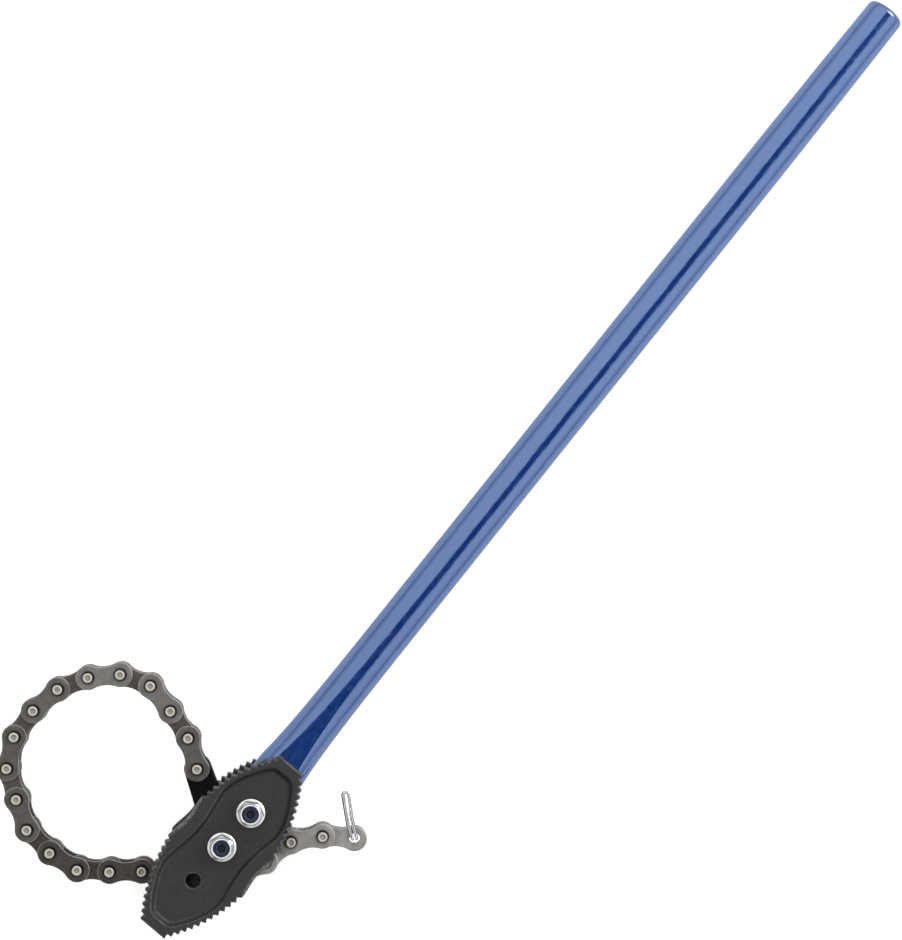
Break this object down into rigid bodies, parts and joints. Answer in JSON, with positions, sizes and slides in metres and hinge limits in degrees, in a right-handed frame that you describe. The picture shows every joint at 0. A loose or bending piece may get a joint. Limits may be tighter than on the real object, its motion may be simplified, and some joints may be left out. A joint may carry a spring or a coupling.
{
  "type": "chain pipe wrench",
  "caption": "Long steel chain pipe wrench with a round painted handle, two toothed reversible jaw plates, and a hinged-link chain on a shackle looped as round a pipe.",
  "frame": {"origin": "centre of the outer face of the centre bolt head, which lies on a bench when the nuts face up", "axes": "+X along the handle to its far end, +Y to the side on which the chain goes round the pipe, +Z from the bolt heads to the nuts"},
  "size_m": [0.7105, 0.2106, 0.0565],
  "materials": {
    "blue_paint": "gloss",
    "jaw_steel": "satin",
    "shackle_steel": "satin",
    "chain_steel": "satin",
    "zinc": "gloss",
    "nylon": "matte"
  },
  "bodies": {
    "root": {"handle": "blue_paint", "jaw_front": "jaw_steel", "jaw_back": "jaw_steel", "centre_bolt": "zinc", "centre_nut": "zinc", "centre_nut_insert": "nylon", "upper_bolt": "zinc", "upper_nut": "zinc", "upper_nut_insert": "nylon"},
    "shackle": {"shackle": "shackle_steel"},
    "link_01": {"link_01_pin_plate": "chain_steel", "link_01_cover_plate": "chain_steel"},
    "link_02": {"link_02_bush_plate": "chain_steel", "link_02_cover_plate": "chain_steel"},
    "link_03": {"link_03_pin_plate": "chain_steel", "link_03_cover_plate": "chain_steel"},
    "link_04": {"link_04_bush_plate": "chain_steel", "link_04_cover_plate": "chain_steel"},
    "link_05": {"link_05_pin_plate": "chain_steel", "link_05_cover_plate": "chain_steel"},
    "link_06": {"link_06_bush_plate": "chain_steel", "link_06_cover_plate": "chain_steel"},
    "link_07": {"link_07_pin_plate": "chain_steel", "link_07_cover_plate": "chain_steel"},
    "link_08": {"link_08_bush_plate": "chain_steel", "link_08_cover_plate": "chain_steel"},
    "link_09": {"link_09_pin_plate": "chain_steel", "link_09_cover_plate": "chain_steel"},
    "link_10": {"link_10_bush_plate": "chain_steel", "link_10_cover_plate": "chain_steel"},
    "link_11": {"link_11_pin_plate": "chain_steel", "link_11_cover_plate": "chain_steel"},
    "link_12": {"link_12_bush_plate": "chain_steel", "link_12_cover_plate": "chain_steel"},
    "link_13": {"link_13_pin_plate": "chain_steel", "link_13_cover_plate": "chain_steel"},
    "link_14": {"link_14_bush_plate": "chain_steel", "link_14_cover_plate": "chain_steel"},
    "link_15": {"link_15_pin_plate": "chain_steel", "link_15_cover_plate": "chain_steel"},
    "link_16": {"link_16_bush_plate": "chain_steel", "link_16_cover_plate": "chain_steel"},
    "link_17": {"link_17_pin_plate": "chain_steel", "link_17_cover_plate": "chain_steel"},
    "link_18": {"link_18_bush_plate": "chain_steel", "link_18_cover_plate": "chain_steel"},
    "link_19": {"link_19_pin_plate": "chain_steel", "link_19_cover_plate": "chain_steel"},
    "link_20": {"link_20_bush_plate": "chain_steel", "link_20_cover_plate": "chain_steel"},
    "link_21": {"link_21_pin_plate": "chain_steel", "link_21_cover_plate": "chain_steel"},
    "link_22": {"link_22_bush_plate": "chain_steel", "link_22_cover_plate": "chain_steel"},
    "cotter": {"cotter": "chain_steel"}
  },
  "joints": [
    {"name": "shackle_swing", "type": "hinge", "parent": "root", "child": "shackle", "pos_m": [0, 0, 0.0262], "axis": [0, 0, 1], "range_deg": [-10, 10]},
    {"name": "chain_pin_01", "type": "hinge", "parent": "shackle", "child": "link_01", "pos_m": [0.02532, 0.03959, 0.0262], "axis": [0, 0, 1], "range_deg": [-40, 20]},
    {"name": "chain_pin_02", "type": "hinge", "parent": "link_01", "child": "link_02", "pos_m": [0.03625, 0.0552, 0.0262], "axis": [0, 0, -1], "range_deg": [-20, 40]},
    {"name": "chain_pin_03", "type": "hinge", "parent": "link_02", "child": "link_03", "pos_m": [0.0422, 0.0733, 0.0262], "axis": [0, 0, -1], "range_deg": [0, 40]},
    {"name": "chain_pin_04", "type": "hinge", "parent": "link_03", "child": "link_04", "pos_m": [0.04655, 0.09184, 0.0262], "axis": [0, 0, 1], "range_deg": [-40, 0]},
    {"name": "chain_pin_05", "type": "hinge", "parent": "link_04", "child": "link_05", "pos_m": [0.04063, 0.10995, 0.0262], "axis": [0, 0, 1], "range_deg": [-40, 0]},
    {"name": "chain_pin_06", "type": "hinge", "parent": "link_05", "child": "link_06", "pos_m": [0.02742, 0.12368, 0.0262], "axis": [0, 0, -1], "range_deg": [0, 40]},
    {"name": "chain_pin_07", "type": "hinge", "parent": "link_06", "child": "link_07", "pos_m": [0.01094, 0.13323, 0.0262], "axis": [0, 0, -1], "range_deg": [0, 40]},
    {"name": "chain_pin_08", "type": "hinge", "parent": "link_07", "child": "link_08", "pos_m": [-0.0078, 0.13664, 0.0262], "axis": [0, 0, 1], "range_deg": [-40, 0]},
    {"name": "chain_pin_09", "type": "hinge", "parent": "link_08", "child": "link_09", "pos_m": [-0.02683, 0.13574, 0.0262], "axis": [0, 0, 1], "range_deg": [-40, 0]},
    {"name": "chain_pin_10", "type": "hinge", "parent": "link_09", "child": "link_10", "pos_m": [-0.04398, 0.12745, 0.0262], "axis": [0, 0, -1], "range_deg": [0, 40]},
    {"name": "chain_pin_11", "type": "hinge", "parent": "link_10", "child": "link_11", "pos_m": [-0.05469, 0.11169, 0.0262], "axis": [0, 0, -1], "range_deg": [0, 40]},
    {"name": "chain_pin_12", "type": "hinge", "parent": "link_11", "child": "link_12", "pos_m": [-0.06487, 0.09559, 0.0262], "axis": [0, 0, 1], "range_deg": [-40, 0]},
    {"name": "chain_pin_13", "type": "hinge", "parent": "link_12", "child": "link_13", "pos_m": [-0.06713, 0.07667, 0.0262], "axis": [0, 0, 1], "range_deg": [-40, 0]},
    {"name": "chain_pin_14", "type": "hinge", "parent": "link_13", "child": "link_14", "pos_m": [-0.065, 0.05774, 0.0262], "axis": [0, 0, -1], "range_deg": [0, 40]},
    {"name": "chain_pin_15", "type": "hinge", "parent": "link_14", "child": "link_15", "pos_m": [-0.05394, 0.04224, 0.0262], "axis": [0, 0, -1], "range_deg": [0, 40]},
    {"name": "chain_pin_16", "type": "hinge", "parent": "link_15", "child": "link_16", "pos_m": [-0.04195, 0.02743, 0.0262], "axis": [0, 0, 1], "range_deg": [-40, 0]},
    {"name": "chain_pin_17", "type": "hinge", "parent": "link_16", "child": "link_17", "pos_m": [-0.03533, 0.00957, 0.0262], "axis": [0, 0, 1], "range_deg": [-40, 0]},
    {"name": "chain_pin_18", "type": "hinge", "parent": "link_17", "child": "link_18", "pos_m": [-0.02443, -0.00606, 0.0262], "axis": [0, 0, -1], "range_deg": [0, 40]},
    {"name": "chain_pin_19", "type": "hinge", "parent": "link_18", "child": "link_19", "pos_m": [-0.00972, -0.01816, 0.0262], "axis": [0, 0, -1], "range_deg": [0, 40]},
    {"name": "chain_pin_20", "type": "hinge", "parent": "link_19", "child": "link_20", "pos_m": [0.00755, -0.0262, 0.0262], "axis": [0, 0, 1], "range_deg": [-40, 15]},
    {"name": "chain_pin_21", "type": "hinge", "parent": "link_20", "child": "link_21", "pos_m": [0.02608, -0.03062, 0.0262], "axis": [0, 0, 1], "range_deg": [-40, 30]},
    {"name": "chain_pin_22", "type": "hinge", "parent": "link_21", "child": "link_22", "pos_m": [0.04032, -0.04326, 0.0262], "axis": [0, 0, -1], "range_deg": [-75, 75]},
    {"name": "cotter_swing", "type": "hinge", "parent": "link_22", "child": "cotter", "pos_m": [0.0507, -0.05924, 0.0262], "axis": [0, 0, 1], "range_deg": [-180, 25]}
  ]
}
